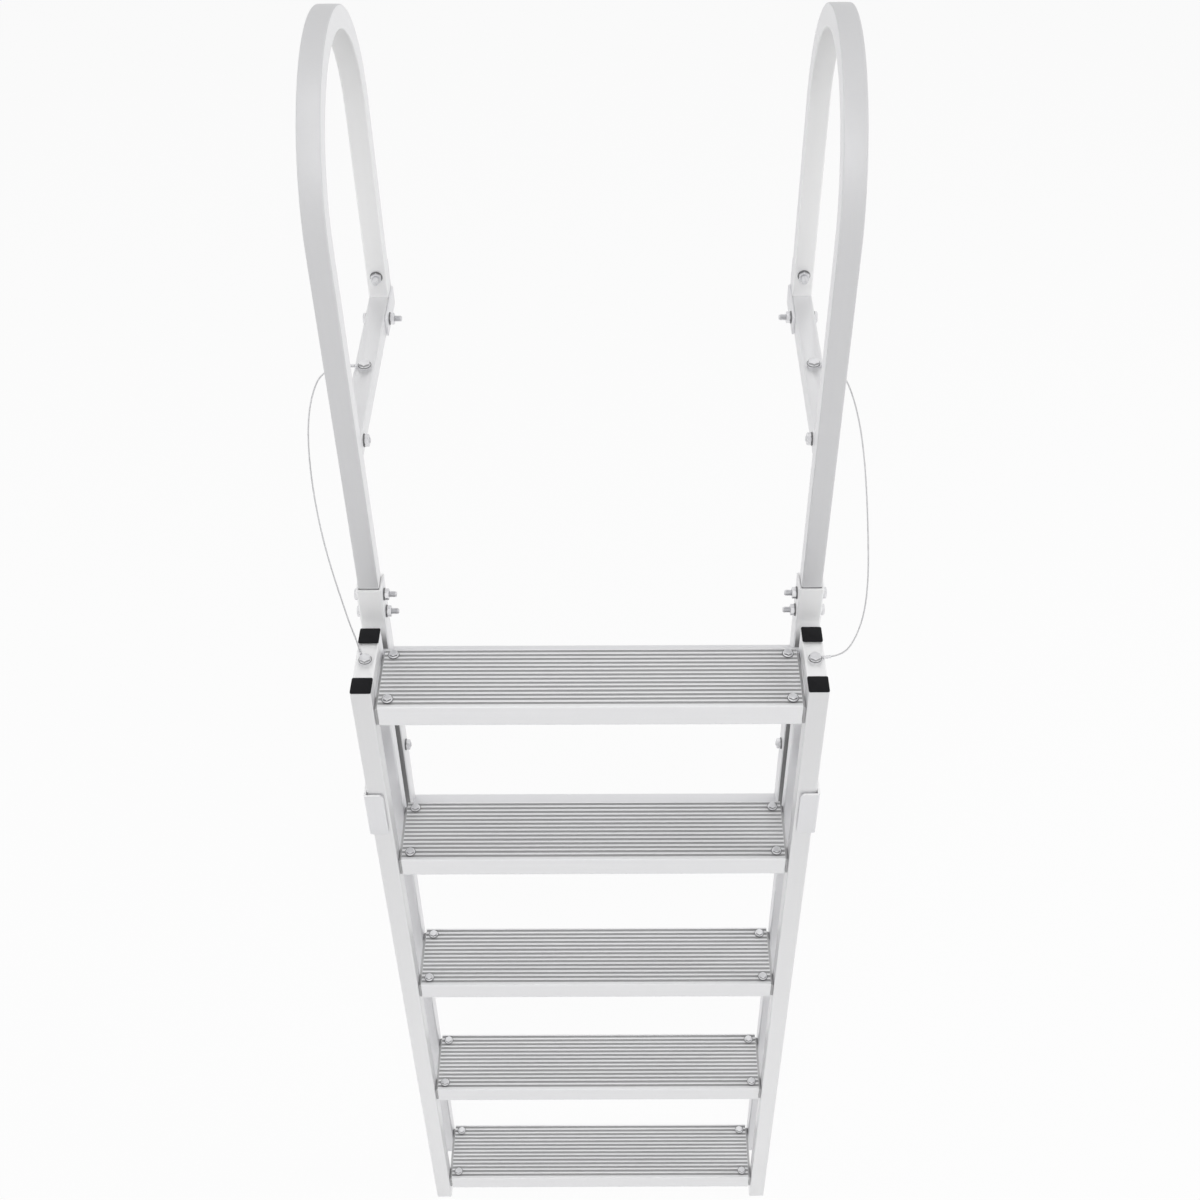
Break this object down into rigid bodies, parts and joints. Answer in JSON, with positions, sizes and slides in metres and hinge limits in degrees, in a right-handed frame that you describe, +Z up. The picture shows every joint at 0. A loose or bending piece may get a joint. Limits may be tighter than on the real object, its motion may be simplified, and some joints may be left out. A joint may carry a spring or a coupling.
{
  "type": "lift-up dock ladder",
  "caption": "Aluminium dock ladder with ribbed treads on twin square rails that lifts in guide hooks on a fixed frame with two hooped handrails.",
  "frame": {"origin": "middle of the top crossbar's rear face, which bears against the edge of the dock", "axes": "+X to the right seen from the water, +Y towards the dock, +Z up"},
  "size_m": [0.6644, 0.488, 1.9869],
  "materials": {
    "tube_aluminium": "satin anodised",
    "tread_aluminium": "satin, extruded ribs",
    "plate_aluminium": "satin plate",
    "bolt_steel": "bright stainless",
    "wire_rope": "clear coated wire rope",
    "black_cap": "matte black"
  },
  "bodies": {
    "dock_frame": {"hoop_left": "tube_aluminium", "hoop_right": "tube_aluminium", "base_bar_left": "tube_aluminium", "base_bar_right": "tube_aluminium", "corner_bracket_left": "plate_aluminium", "corner_bracket_right": "plate_aluminium", "channel_left": "tube_aluminium", "channel_right": "tube_aluminium", "crossbar_top": "tube_aluminium", "crossbar_bottom": "tube_aluminium", "guide_hook_left": "plate_aluminium", "guide_hook_right": "plate_aluminium", "channel_bolts": "bolt_steel", "bar_bolts": "bolt_steel", "rear_leg_bolts": "bolt_steel", "deck_bolts": "bolt_steel", "deck_eyelets": "bolt_steel"},
    "ladder": {"front_rail_left": "tube_aluminium", "front_rail_right": "tube_aluminium", "rear_rail_left": "tube_aluminium", "rear_rail_right": "tube_aluminium", "rail_spacer_left": "tube_aluminium", "rail_spacer_right": "tube_aluminium", "rail_caps": "black_cap", "tread_1": "tread_aluminium", "tread_2": "tread_aluminium", "tread_3": "tread_aluminium", "tread_4": "tread_aluminium", "tread_5": "tread_aluminium", "tread_brackets_left": "plate_aluminium", "tread_brackets_right": "plate_aluminium", "hanger_left": "plate_aluminium", "hanger_right": "plate_aluminium", "spacer_bolts": "bolt_steel", "spacer_eyelets": "bolt_steel", "lanyard_left": "wire_rope", "lanyard_right": "wire_rope"}
  },
  "joints": [
    {"name": "ladder_lift", "type": "slide", "parent": "dock_frame", "child": "ladder", "axis": [0, 0, 1], "range_m": [0, 0.6]}
  ]
}
